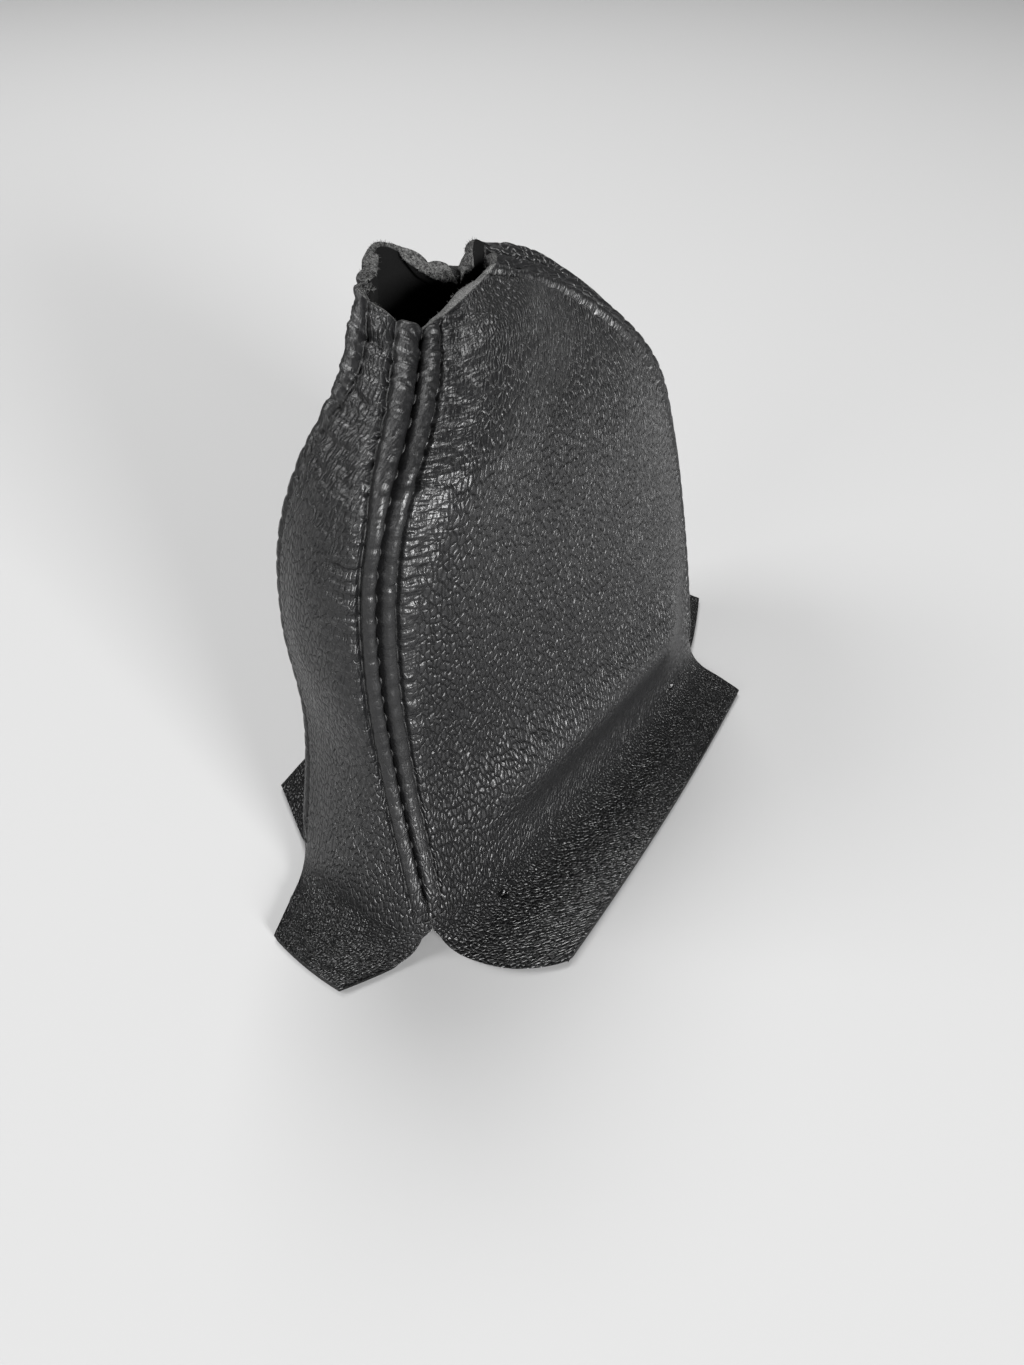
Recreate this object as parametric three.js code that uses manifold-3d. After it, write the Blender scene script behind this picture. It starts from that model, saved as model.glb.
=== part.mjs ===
// Gear lever gaiter: four leather panels sewn along four corner seams, with a flange below each panel.
// The seams are numbered 0 front, 1 right, 2 rear and 3 left, and panel k runs from seam k to seam k + 1.
// X is the long axis, +Z is up, and the undersides of the flanges lie in the plane Z = 0.
import * as THREE from 'three';
import { mergeVertices } from 'three/addons/utils/BufferGeometryUtils.js';
import Module from 'manifold-3d';

const wasm = await Module();
wasm.setup();

// Leather, mm
const leatherThickness = 1.6;
const allowanceThickness = 1.3;
const allowanceWidth = 7.5;
const allowanceStep = 0.4;
const noseInset = 1.2;

// Seams and threads, mm
const seamGap = 0.3;
const clearance = 0.3;
const valleyDepth = 1.5;
const ridgeHeight = 0.65;
const ridgeDistance = 2.1;
const grooveDepth = 0.3;
const topstitchDistance = 4.2;
const stitchPitch = 5.3;
const stitchWave = 0.14;
const topstitchRadius = 0.33;
const joiningRadius = 0.26;
const seamEndFade = 6;
const crossStitchHeight = 2;
const steepestSlant = 2;
const middleRoom = 1.5;

// Body, mm. The hem is where the flanges begin, and the rim is the upper edge of the neck.
const footprintLength = 191.2;
const footprintWidth = 103.4;
const hemLength = 134;
const hemWidth = 57.2;
const hemCentre = [-4, -2.1];
const hemHeight = 9.2;
const rimLength = 35.4;
const rimWidth = 16.2;
const rimCentre = [-12.7, 11.1];
const rimHeight = 140;
const seamRun = 152;
const slitOpenShare = 0.12;
const stitchEnd = 0.966;

// Punched holes in the crease of the right panel: radius and place along X in mm, and the share of the bend
const pinholeRadius = 0.9;
const pinholes = [
  { x: -53, bend: 0.38 },
  { x: 38.5, bend: 0.14 },
];

// Each seam runs from its hem corner to its rim corner, given as shares of half the length and half the
// width there. along and across are the shares of the way that it has gone in X and Y at each of the
// stations, and heights are the shares in Z. lift raises its end at the rim, as a share of the rim's width.
// turn is how far, in degrees, the leather that crosses the seam is turned from the line between the seams
// on either side, at the levels. slit is half the width of the slit below the seam, in mm.
const stations = [0, 0.27, 0.46, 0.61, 0.75, 0.87, 1];
const heights = [0, 0.313, 0.542, 0.718, 0.847, 0.935, 1];
const levels = [0, 0.3, 0.62, 0.85, 1];
const seams = [
  {
    name: 'front',
    hem: [-1.045, -0.573],
    rim: [-1.09, -1],
    lift: 0,
    along: [0, 0.165, 0.17, 0.2, 0.304, 0.614, 1],
    across: [0, 0.515, 0.584, 0.549, 0.474, 0.616, 1],
    turn: [0, 0, 0, 0, 0],
    slit: 1.8,
  },
  {
    name: 'right',
    hem: [0.955, -1],
    rim: [1, -0.333],
    lift: 0,
    along: [0, -0.01, 0.04, 0.195, 0.45, 0.68, 1],
    across: [0, 0.195, 0.34, 0.44, 0.6, 0.815, 1],
    turn: [8, 16, 14, 6, 0],
    slit: 0.6,
  },
  {
    name: 'rear',
    hem: [1.045, 0.843],
    rim: [0.605, 0.42],
    lift: -0.06,
    along: [0, -0.015, 0.02, 0.15, 0.36, 0.65, 1],
    across: [0, 0.4, 0.67, 0.8, 0.67, 0.2, 1],
    turn: [0, 0, 0, 0, 0],
    slit: 1.8,
  },
  {
    name: 'left',
    hem: [-0.948, 1],
    rim: [-1, 1],
    lift: 0.31,
    along: [0, 0.21, 0.2, 0.195, 0.32, 0.565, 1],
    across: [0, 0.17, 0.16, 0.75, 1.38, 1.79, 1],
    turn: [20, 22, 8, -4, -6],
    slit: 1,
  },
];

// fullness is how far a panel's section leaves its corners along the tangents, as a share of the chord, and
// crown is the extra bulge, as a share of the hem's width. Both are given at the levels. rise lifts the rim
// between its corners, as a share of the rim's width, and is highest at rimPeak. outerEdge holds the corners
// of the flange, as shares of half the footprint, and bow is how far the edge stands out between them, as a
// share of the footprint's width. spread is how late the flange widens towards each of those corners.
const panels = [
  {
    name: 'right_panel',
    fullness: [0.14, 0.2, 0.28, 0.3, 0.15],
    crown: [0, 0.035, 0.017, 0, 0],
    rise: 0,
    rimPeak: 0.5,
    outerEdge: [[-0.643, -0.958], [0.568, -0.981]],
    bow: 0.0155,
    spread: [3, 1.5],
  },
  {
    name: 'rear_panel',
    fullness: [0.27, 0.33, 0.36, 0.38, 0.42],
    crown: [0, 0.017, 0.017, 0.035, 0.14],
    rise: 0.12,
    rimPeak: 0.5,
    outerEdge: [[0.973, -0.414], [1, 0.251]],
    bow: 0,
    spread: [1.2, 1.2],
  },
  {
    name: 'left_panel',
    fullness: [0.14, 0.22, 0.3, 0.35, 0.3],
    crown: [0, 0.052, 0.052, 0.052, 0.122],
    rise: 0.31,
    rimPeak: 0.42,
    outerEdge: [[0.565, 0.981], [-0.535, 0.958]],
    bow: 0.0155,
    spread: [1.2, 1],
  },
  {
    name: 'front_panel',
    fullness: [0.25, 0.25, 0.32, 0.33, 0.3],
    crown: [0, 0, 0.017, 0, 0],
    rise: 0,
    rimPeak: 0.5,
    outerEdge: [[-0.958, 0.354], [-1, -0.112]],
    bow: 0.008,
    spread: [1, 1.3],
  },
];

// Rows of the surface: the level runs from 0 at the hem to 1 at the rim, and from 0 to -1 down the flange.
const bodyRows = [
  0, 0.02, 0.04, 0.07, 0.12, 0.18, 0.24, 0.3, 0.36, 0.42, 0.47, 0.52, 0.56, 0.6,
  0.64, 0.68, 0.72, 0.76, 0.8, 0.84, 0.88, 0.91, 0.94, 0.97, 1,
];
const bendRows = 4;
const flatRows = 3;
const middleColumns = [12, 7, 12, 7];

const leather = new THREE.MeshStandardMaterial({ color: '#1b1b1c', roughness: 0.55, metalness: 0 });
const thread = new THREE.MeshStandardMaterial({ color: '#141414', roughness: 0.8, metalness: 0 });

const clamp = THREE.MathUtils.clamp;
const lerp = THREE.MathUtils.lerp;
const smoothstep = THREE.MathUtils.smoothstep;

// A smooth curve through the values at the places, with the slopes of the neighbouring spans blended.
function smoothThrough(places, values, at) {
  const last = places.length - 1;
  let i = 0;
  while (i < last - 1 && at >= places[i + 1]) i += 1;
  const span = (j) => places[j + 1] - places[j];
  const rate = (j) => (values[j + 1] - values[j]) / span(j);
  const slope = (j) => {
    if (j === 0) return rate(0);
    if (j === last) return rate(last - 1);
    return (span(j) * rate(j - 1) + span(j - 1) * rate(j)) / (span(j) + span(j - 1));
  };
  const t = (at - places[i]) / span(i);
  const first = (2 * t ** 3 - 3 * t ** 2 + 1) * values[i] + (t ** 3 - 2 * t ** 2 + t) * span(i) * slope(i);
  return first + (3 * t ** 2 - 2 * t ** 3) * values[i + 1] + (t ** 3 - t ** 2) * span(i) * slope(i + 1);
}

// Straight lines through the values at the places.
function linesThrough(places, values, at) {
  let i = 0;
  while (i < places.length - 2 && at >= places[i + 1]) i += 1;
  return lerp(values[i], values[i + 1], clamp((at - places[i]) / (places[i + 1] - places[i]), 0, 1));
}

// 0 below the neck and 1 at the rim, growing with the square.
const nearRim = (level) => clamp((level - 0.8) / 0.2, 0, 1) ** 2;

// A corner at the hem or the rim.
const corner = ([x, y], centre, length, width) => [centre[0] + (x * length) / 2, centre[1] + (y * width) / 2];

function seamPoint(k, level) {
  const seam = seams[k % 4];
  const hem = corner(seam.hem, hemCentre, hemLength, hemWidth);
  const rim = corner(seam.rim, rimCentre, rimLength, rimWidth);
  const height = lerp(hemHeight, rimHeight, smoothThrough(stations, heights, level));
  return new THREE.Vector3(
    lerp(hem[0], rim[0], smoothThrough(stations, seam.along, level)),
    lerp(hem[1], rim[1], smoothThrough(stations, seam.across, level)),
    height + seam.lift * rimWidth * nearRim(level),
  );
}

const flat = (vector) => vector.setZ(0);
const between = (from, to) => flat(to.clone().sub(from));

// The level direction in which the leather crosses a seam.
function seamTangent(k, level, before, after) {
  const turn = THREE.MathUtils.degToRad(linesThrough(levels, seams[k % 4].turn, level));
  return between(before, after).normalize().applyAxisAngle(new THREE.Vector3(0, 0, 1), turn);
}

// A point of a panel above its hem: a cubic curve between two seams. Neighbouring panels share the tangent
// at their seam.
function bodyPoint(k, u, level) {
  const panel = panels[k];
  const [before, start, end, after] = [3, 4, 5, 6].map((step) => seamPoint(k + step, level));
  const chord = between(start, end);
  const reach = chord.length() * linesThrough(levels, panel.fullness, level);
  const startHandle = start.clone().addScaledVector(seamTangent(k, level, before, end), reach);
  const endHandle = end.clone().addScaledVector(seamTangent(k + 1, level, start, after), -reach);
  const point = new THREE.CubicBezierCurve3(start, startHandle, endHandle, end).getPoint(u);
  const outward = new THREE.Vector3(chord.y, -chord.x, 0).normalize();
  const crown = hemWidth * linesThrough(levels, panel.crown, level);
  point.addScaledVector(outward, crown * Math.sin(Math.PI * u) ** 2);
  const peaked = u ** (Math.log(0.5) / Math.log(panel.rimPeak));
  point.z += panel.rise * rimWidth * Math.sin(Math.PI * peaked) ** 2 * nearRim(level);
  return point;
}

const bendRadius = hemHeight - leatherThickness;

// The outer edge of a flange: its two corners, its direction and the way out from the body.
function flangeEdge(k) {
  const [from, to] = panels[k].outerEdge.map(
    ([x, y]) => new THREE.Vector3((x * footprintLength) / 2, (y * footprintWidth) / 2, 0),
  );
  const edge = between(from, to).normalize();
  return { from, to, edge, outward: new THREE.Vector3(edge.y, -edge.x, 0) };
}

// A point of a flange, share 0 at the hem and 1 at its outer edge: down through a quarter circle, then flat.
// Its sides draw back from the seams at once, so that a slit opens below each seam.
function flangePoint(k, u, share) {
  const { bow, spread } = panels[k];
  const { from, to, edge, outward } = flangeEdge(k);
  const drawn = smoothstep(share, 0, slitOpenShare) / from.distanceTo(to);
  const inside = lerp(seams[k].slit * drawn, 1 - seams[(k + 1) % 4].slit * drawn, u);
  const point = bodyPoint(k, inside, 0);
  const goal = between(point, from.clone().lerp(to, u));
  goal.addScaledVector(outward, bow * footprintWidth * 4 * u * (1 - u));
  const width = goal.dot(outward);
  const travelled = share * (width + (Math.PI / 2 - 1) * bendRadius);
  const angle = Math.min(travelled / bendRadius, Math.PI / 2);
  const out = bendRadius * (1 - Math.cos(angle)) + Math.max(travelled - (bendRadius * Math.PI) / 2, 0);
  const spreadNow = (out / width) ** lerp(spread[0], spread[1], u);
  point.addScaledVector(outward, out).addScaledVector(edge, goal.dot(edge) * spreadNow);
  point.z -= bendRadius * Math.sin(angle);
  return point;
}

// The share of a flange at which its bend ends and its flat part begins.
function bendShare(k, u) {
  const width = flangePoint(k, u, 1).sub(flangePoint(k, u, 0)).dot(flangeEdge(k).outward);
  return ((Math.PI / 2) * bendRadius) / (width + (Math.PI / 2 - 1) * bendRadius);
}

const surfacePoint = (k, u, level) => (level < 0 ? flangePoint(k, u, -level) : bodyPoint(k, u, level));

function surfaceNormal(k, u, level) {
  const du = 1e-3;
  const dl = 1e-3;
  const top = Math.min(level + dl, 1);
  const bottom = Math.max(level - dl, -1);
  const along = surfacePoint(k, Math.min(u + du, 1), level).sub(surfacePoint(k, Math.max(u - du, 0), level));
  const up = surfacePoint(k, u, top).sub(surfacePoint(k, u, bottom));
  return along.cross(up).normalize();
}

// Converts a distance from the start of a row into the panel's own share u.
function rowRuler(k, level) {
  const samples = 60;
  const shares = [];
  const lengths = [];
  let length = 0;
  let last = null;
  for (let i = 0; i <= samples; i += 1) {
    const point = bodyPoint(k, i / samples, level);
    if (last) length += point.distanceTo(last);
    last = point;
    shares.push(i / samples);
    lengths.push(length);
  }
  return { length, shareAt: (distance) => linesThrough(lengths, shares, distance) };
}

// A seam that leans along the rows is crossed at a slant, so the distances from it are stretched to match.
function seamSlant(k, level) {
  const row = seamTangent(k, level, seamPoint(k + 3, level), seamPoint(k + 1, level));
  const step = 1e-3;
  const above = seamPoint(k, Math.min(level + step, 1));
  const climb = above.sub(seamPoint(k, Math.max(level - step, 0))).normalize();
  return Math.min(1 / row.cross(climb).length(), steepestSlant);
}

// The stretch at the start and the end of a row, kept small enough for the row to hold both seams' faces.
function rowSlants(k, level, length) {
  const slants = [seamSlant(k, level), seamSlant(k + 1, level)];
  const room = (length - middleRoom) / (seamFace.at(-1)[0] * (slants[0] + slants[1]));
  return slants.map((slant) => slant * Math.min(1, room));
}

// How far the seam's shape has grown at a level: nothing at the slit below it, all of it a little above.
const seamShape = (level) => smoothstep(level * seamRun, 0.5 * seamEndFade, 1.5 * seamEndFade);

// The leather's face beside a seam, as distances from the seam and heights over the plain surface.
const seamFace = [
  [seamGap / 2, -valleyDepth],
  [seamGap / 2 + 0.3, -valleyDepth / 2],
  [ridgeDistance / 2, 0.25 * ridgeHeight],
  [ridgeDistance, ridgeHeight],
  [(ridgeDistance + topstitchDistance) / 2, 0.4 * ridgeHeight],
  [topstitchDistance, -grooveDepth],
  [topstitchDistance + 1, 0],
];

// The section of a panel at a level: its face from seam to seam, and its back, each as [distance, height].
// The folded edges are drawn back from the seam at their inner side, and more so at the rim, where the turn
// is tight.
function panelSection(k, level, length) {
  const shape = seamShape(level);
  const [startSlant, endSlant] = rowSlants(k, level, length);
  const faceEnd = seamFace.at(-1)[0];
  const face = seamFace.map(([distance, height]) => [distance * startSlant, height * shape]);
  const count = middleColumns[k];
  for (let i = 1; i < count; i += 1) {
    face.push([lerp(faceEnd * startSlant, length - faceEnd * endSlant, i / count), 0]);
  }
  for (const [distance, height] of [...seamFace].reverse()) {
    face.push([length - distance * endSlant, height * shape]);
  }

  const folded = -leatherThickness - allowanceThickness * shape;
  const nose = seamGap / 2 + noseInset * shape * (1 + nearRim(level));
  const backEdge = (slant) => {
    const fold = Math.min(allowanceWidth * slant, length / 2 - 2 * allowanceStep);
    return [[nose * slant, folded], [fold, folded], [fold + allowanceStep, -leatherThickness]];
  };
  const back = backEdge(startSlant);
  const backCount = Math.ceil(count / 2);
  const backStart = back.at(-1)[0];
  const backEnd = length - backEdge(endSlant).at(-1)[0];
  for (let i = 1; i < backCount; i += 1) {
    back.push([lerp(backStart, backEnd, i / backCount), -leatherThickness]);
  }
  for (const [distance, height] of backEdge(endSlant).reverse()) back.push([length - distance, height]);
  return { face, back };
}

// Places a section's points on the panel. The flange keeps the columns of the hem.
function placeRow(k, level) {
  const ruler = rowRuler(k, Math.max(level, 0));
  const section = panelSection(k, Math.max(level, 0), ruler.length);
  const place = ([distance, height]) => {
    const u = ruler.shareAt(distance);
    const flatPart = level < 0 && -level >= bendShare(k, u) - 1e-6;
    const normal = flatPart ? new THREE.Vector3(0, 0, 1) : surfaceNormal(k, u, level);
    return surfacePoint(k, u, level).addScaledVector(normal, height);
  };
  return { face: section.face.map(place), back: section.back.map(place) };
}

// Closes the rows into one solid. Each row is a loop of its face and its back, and both ends are capped.
function closedLoft(rows) {
  const faceCount = rows[0].face.length;
  const backCount = rows[0].back.length;
  const ring = faceCount + backCount;
  const positions = [];
  for (const row of rows) {
    for (const point of [...row.face, ...[...row.back].reverse()]) positions.push(point.x, point.y, point.z);
  }
  const index = [];
  for (let r = 0; r < rows.length - 1; r += 1) {
    for (let c = 0; c < ring; c += 1) {
      const a = r * ring + c;
      const b = r * ring + ((c + 1) % ring);
      index.push(a, b, b + ring, a, b + ring, a + ring);
    }
  }
  const cap = (start, flip) => {
    const faceAt = (i) => start + i;
    const backAt = (i) => start + ring - 1 - i;
    let f = 0;
    let b = 0;
    while (f < faceCount - 1 || b < backCount - 1) {
      const faceBehind = f < faceCount - 1 && (f + 1) / faceCount < (b + 1) / backCount;
      const stepFace = faceBehind || b === backCount - 1;
      const triangle = stepFace
        ? [faceAt(f), backAt(b), faceAt(f + 1)]
        : [faceAt(f), backAt(b), backAt(b + 1)];
      if (stepFace) f += 1;
      else b += 1;
      index.push(...(flip ? triangle.reverse() : triangle));
    }
  };
  cap(0, false);
  cap((rows.length - 1) * ring, true);
  const geometry = new THREE.BufferGeometry();
  geometry.setAttribute('position', new THREE.Float32BufferAttribute(positions, 3));
  geometry.setIndex(index);
  return geometry;
}

function panelRows(k) {
  const middle = bendShare(k, 0.5);
  const levelsDown = [];
  for (let i = flatRows; i >= 1; i -= 1) levelsDown.push(-lerp(middle, 1, i / flatRows));
  for (let i = bendRows; i >= 1; i -= 1) levelsDown.push((-middle * i) / bendRows);
  return [...levelsDown, ...bodyRows].map((level) => placeRow(k, level));
}

function toSolid(geometry) {
  const bare = geometry.clone().deleteAttribute('uv').deleteAttribute('normal');
  const merged = mergeVertices(bare);
  const vertProperties = new Float32Array(merged.getAttribute('position').array);
  const triVerts = new Uint32Array(merged.index.array);
  return new wasm.Manifold(new wasm.Mesh({ numProp: 3, vertProperties, triVerts }));
}

function fromSolid(solid) {
  const mesh = solid.getMesh();
  const geometry = new THREE.BufferGeometry();
  geometry.setAttribute('position', new THREE.Float32BufferAttribute(mesh.vertProperties, 3));
  geometry.setIndex(new THREE.Uint32BufferAttribute(mesh.triVerts, 1));
  return geometry;
}

// A punch through the bend of a flange at a place along X.
function pinhole(k, { x, bend }) {
  let low = 0;
  let high = 1;
  for (let i = 0; i < 30; i += 1) {
    const middle = (low + high) / 2;
    if (bodyPoint(k, middle, 0).x < x) low = middle;
    else high = middle;
  }
  const level = -bendShare(k, low) * bend;
  const depth = 4 * leatherThickness;
  const punch = new THREE.CylinderGeometry(pinholeRadius, pinholeRadius, depth, 10);
  const axis = surfaceNormal(k, low, level);
  punch.applyQuaternion(new THREE.Quaternion().setFromUnitVectors(new THREE.Vector3(0, 1, 0), axis));
  const centre = surfacePoint(k, low, level);
  return punch.translate(centre.x, centre.y, centre.z);
}

function panelGeometry(k) {
  const sheet = closedLoft(panelRows(k));
  if (k !== 0) return sheet;
  let solid = toSolid(sheet);
  for (const hole of pinholes) solid = solid.subtract(toSolid(pinhole(k, hole)));
  return fromSolid(solid);
}

// A point over the leather beside seam k. Positive distances lie on panel k, negative ones on the one before.
function besideSeam(k, level, distance, height) {
  const panel = distance < 0 ? (k + 3) % 4 : k;
  const ruler = rowRuler(panel, level);
  const [startSlant, endSlant] = rowSlants(panel, level, ruler.length);
  const u = ruler.shareAt(distance < 0 ? ruler.length + distance * endSlant : distance * startSlant);
  const up = surfaceNormal(panel, u, level);
  return { centre: surfacePoint(panel, u, level).addScaledVector(up, height), up };
}

// A closed cord of four sides through the path's points.
function cordGeometry(path, radius) {
  const positions = [];
  path.forEach(({ centre, up }, i) => {
    const ahead = path[Math.min(i + 1, path.length - 1)].centre.clone();
    const tangent = ahead.sub(path[Math.max(i - 1, 0)].centre).normalize();
    const side = tangent.clone().cross(up).normalize();
    const over = side.clone().cross(tangent);
    for (const [s, o] of [[1, 0], [0, -1], [-1, 0], [0, 1]]) {
      const corner = centre.clone().addScaledVector(side, s * radius).addScaledVector(over, o * radius);
      positions.push(corner.x, corner.y, corner.z);
    }
  });
  const index = [];
  for (let i = 0; i < path.length - 1; i += 1) {
    for (let c = 0; c < 4; c += 1) {
      const a = 4 * i + c;
      const b = 4 * i + ((c + 1) % 4);
      index.push(a, b, b + 4, a, b + 4, a + 4);
    }
  }
  const end = 4 * (path.length - 1);
  index.push(0, 2, 1, 0, 3, 2, end, end + 1, end + 2, end, end + 2, end + 3);
  const geometry = new THREE.BufferGeometry();
  geometry.setAttribute('position', new THREE.Float32BufferAttribute(positions, 3));
  geometry.setIndex(index);
  return geometry;
}

// Levels from the lower end of a row of stitches to its upper end, two for each stitch: a hole and a top.
function stitchLevels(from, to) {
  const steps = 2 * Math.round(((to - from) * seamRun) / stitchPitch);
  return Array.from({ length: steps + 1 }, (_, i) => ({ level: lerp(from, to, i / steps), top: i % 2 }));
}

// One thread goes down one side of the seam, across its lower end and up the other side.
function topstitchGeometry(k) {
  const levelsUp = stitchLevels(crossStitchHeight / seamRun + 0.03, stitchEnd);
  const low = clearance + topstitchRadius - grooveDepth;
  const row = (side) =>
    levelsUp.map(({ level, top }) => besideSeam(k, level, side * topstitchDistance, low + stitchWave * top));
  const crossLevel = crossStitchHeight / seamRun;
  const crossHeight = clearance + topstitchRadius + stitchWave / 2;
  const shares = [-1, -0.67, -0.33, 0, 0.33, 0.67, 1];
  const across = shares.map((share) => besideSeam(k, crossLevel, share * topstitchDistance, crossHeight));
  const corner = (side) => besideSeam(k, crossLevel + 0.013, side * topstitchDistance, crossHeight);
  return cordGeometry([...row(-1).reverse(), corner(-1), ...across, corner(1), ...row(1)], topstitchRadius);
}

// The thread that joins two panels lies in the valley between their folded edges.
function joiningGeometry(k) {
  const low = -0.22 * valleyDepth;
  const levelsUp = stitchLevels((1.6 * seamEndFade) / seamRun, stitchEnd);
  return cordGeometry(
    levelsUp.map(({ level, top }) => besideSeam(k, level, 0, low + stitchWave * top)),
    joiningRadius,
  );
}

const gaiter = new THREE.Group();
gaiter.name = 'gaiter';

function addPiece(name, geometry, look) {
  geometry.computeVertexNormals();
  const mesh = new THREE.Mesh(geometry, look);
  mesh.name = name;
  gaiter.add(mesh);
}

panels.forEach((panel, k) => addPiece(panel.name, panelGeometry(k), leather));
seams.forEach((seam, k) => addPiece(`${seam.name}_topstitch_thread`, topstitchGeometry(k), thread));
seams.forEach((seam, k) => addPiece(`${seam.name}_joining_thread`, joiningGeometry(k), thread));

export default gaiter;
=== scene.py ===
import math
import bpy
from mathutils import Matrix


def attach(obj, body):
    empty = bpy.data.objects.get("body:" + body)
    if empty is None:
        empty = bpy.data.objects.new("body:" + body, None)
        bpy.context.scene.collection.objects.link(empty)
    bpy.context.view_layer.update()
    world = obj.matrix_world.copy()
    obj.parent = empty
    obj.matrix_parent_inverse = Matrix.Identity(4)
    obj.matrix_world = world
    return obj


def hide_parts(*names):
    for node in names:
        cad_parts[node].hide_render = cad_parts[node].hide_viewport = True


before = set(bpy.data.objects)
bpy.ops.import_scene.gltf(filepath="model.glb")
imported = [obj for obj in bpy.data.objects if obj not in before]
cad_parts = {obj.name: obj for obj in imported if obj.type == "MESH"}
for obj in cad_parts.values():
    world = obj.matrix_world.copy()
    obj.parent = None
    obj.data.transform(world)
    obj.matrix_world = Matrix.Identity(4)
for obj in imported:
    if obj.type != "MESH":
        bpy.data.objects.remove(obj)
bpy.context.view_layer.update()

from types import SimpleNamespace

import bpy
import numpy as np
from mathutils import Vector

# Gear lever gaiter: four leather panels sewn along four corner seams. Lengths are in mm until a mesh is made.
# Seams are numbered 0 front, 1 right, 2 rear, 3 left, and panel k runs from seam k to seam k + 1.
gaiter = {
    "leather": 1.6, "allowance": 1.3, "allowanceWidth": 7.5, "allowanceStep": 0.6, "noseInset": 1.2,
    "footprint": (191.2, 103.4), "hemSize": (134.0, 57.2), "hemCentre": (-4.0, -2.1), "hemHeight": 9.2,
    "rimSize": (35.4, 16.2), "rimCentre": (-12.7, 11.1), "rimHeight": 140.0, "seamRun": 152.0,
    "slitOpenShare": 0.12, "steepestSlant": 2.0, "middleRoom": 1.5, "faceEnd": 5.2, "backStep": 8,
    "stations": (0, 0.27, 0.46, 0.61, 0.75, 0.87, 1), "heights": (0, 0.313, 0.542, 0.718, 0.847, 0.935, 1),
    "levels": (0, 0.3, 0.62, 0.85, 1),
}
seams = [
    {"name": "front", "hem": (-1.045, -0.573), "rim": (-1.09, -1), "lift": 0, "slit": 1.8, "deep": 1,
     "along": (0, 0.165, 0.17, 0.2, 0.304, 0.614, 1), "across": (0, 0.515, 0.584, 0.549, 0.474, 0.616, 1),
     "turn": (0, 0, 0, 0, 0)},
    {"name": "right", "hem": (0.955, -1), "rim": (1, -0.333), "lift": 0, "slit": 0.6, "deep": 1.7,
     "along": (0, -0.01, 0.04, 0.195, 0.45, 0.68, 1), "across": (0, 0.195, 0.34, 0.44, 0.6, 0.815, 1),
     "turn": (8, 16, 14, 6, 0)},
    {"name": "rear", "hem": (1.045, 0.843), "rim": (0.605, 0.42), "lift": -0.06, "slit": 1.8, "deep": 1.2,
     "along": (0, -0.015, 0.02, 0.15, 0.36, 0.65, 1), "across": (0, 0.4, 0.67, 0.8, 0.67, 0.2, 1),
     "turn": (0, 0, 0, 0, 0)},
    {"name": "left", "hem": (-0.948, 1), "rim": (-1, 1), "lift": 0.31, "slit": 1, "deep": 1.2,
     "along": (0, 0.21, 0.2, 0.195, 0.32, 0.565, 1), "across": (0, 0.17, 0.16, 0.75, 1.38, 1.79, 1),
     "turn": (20, 22, 8, -4, -6)},
]

# The shape of each panel: fullness and crown at the levels, the flange's corners as shares of half the
# footprint, and gathers as a strength and a reach beside each of its seams. cut and cutArea are the flat
# leather between the seam lines, in m and m2. rows are those of the flange, the lower body and the upper
# body.
panels = [
    {"name": "right_panel", "cut": (0.1355, 0.1675), "cutArea": 0.0197,
     "fullness": (0.14, 0.2, 0.28, 0.3, 0.15), "crown": (0, 0.035, 0.017, 0, 0), "rise": 0, "rimPeak": 0.5,
     "outerEdge": ((-0.643, -0.958), (0.568, -0.981)), "bow": 0.0155, "spread": (3, 1.5),
     "gathers": ((1.0, 18), (0.25, 7)), "leanReach": 14, "flangeCreases": 0.35,
     "cutSlope": 1.8, "rawRim": 0.1, "paleCut": 1, "columns": 236, "rows": (44, 90, 220)},
    {"name": "rear_panel", "cut": (0.0591, 0.1903), "cutArea": 0.00756,
     "fullness": (0.27, 0.33, 0.36, 0.38, 0.42), "crown": (0, 0.017, 0.017, 0.035, 0.14), "rise": 0.12,
     "rimPeak": 0.5, "outerEdge": ((0.973, -0.414), (1, 0.251)), "bow": 0, "spread": (1.2, 1.2),
     "gathers": ((0.12, 6), (0.3, 8)), "leanReach": 6, "flangeCreases": 0.5,
     "cutSlope": 0, "rawRim": 1, "paleCut": 0.7, "columns": 220, "rows": (40, 80, 200)},
    {"name": "left_panel", "cut": (0.1351, 0.1667), "cutArea": 0.01906,
     "fullness": (0.14, 0.22, 0.3, 0.35, 0.3), "crown": (0, 0.052, 0.052, 0.052, 0.122), "rise": 0.31,
     "rimPeak": 0.42, "outerEdge": ((0.565, 0.981), (-0.535, 0.958)), "bow": 0.0155, "spread": (1.2, 1),
     "gathers": ((0.3, 8), (0.3, 8)), "leanReach": 6, "flangeCreases": 0.5,
     "cutSlope": 0, "rawRim": 1, "paleCut": 0.8, "columns": 220, "rows": (36, 80, 190)},
    {"name": "front_panel", "cut": (0.0494, 0.1741), "cutArea": 0.00584,
     "fullness": (0.25, 0.25, 0.32, 0.33, 0.3), "crown": (0, 0, 0.017, 0, 0), "rise": 0,
     "rimPeak": 0.5, "outerEdge": ((-0.958, 0.354), (-1, -0.112)), "bow": 0.008, "spread": (1, 1.3),
     "gathers": ((0.15, 5), (0.8, 24)), "leanReach": 4, "flangeCreases": 1.1,
     "cutSlope": 0.5, "rawRim": 0.9, "paleCut": 0.7, "columns": 190, "rows": (50, 120, 205)},
]


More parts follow.
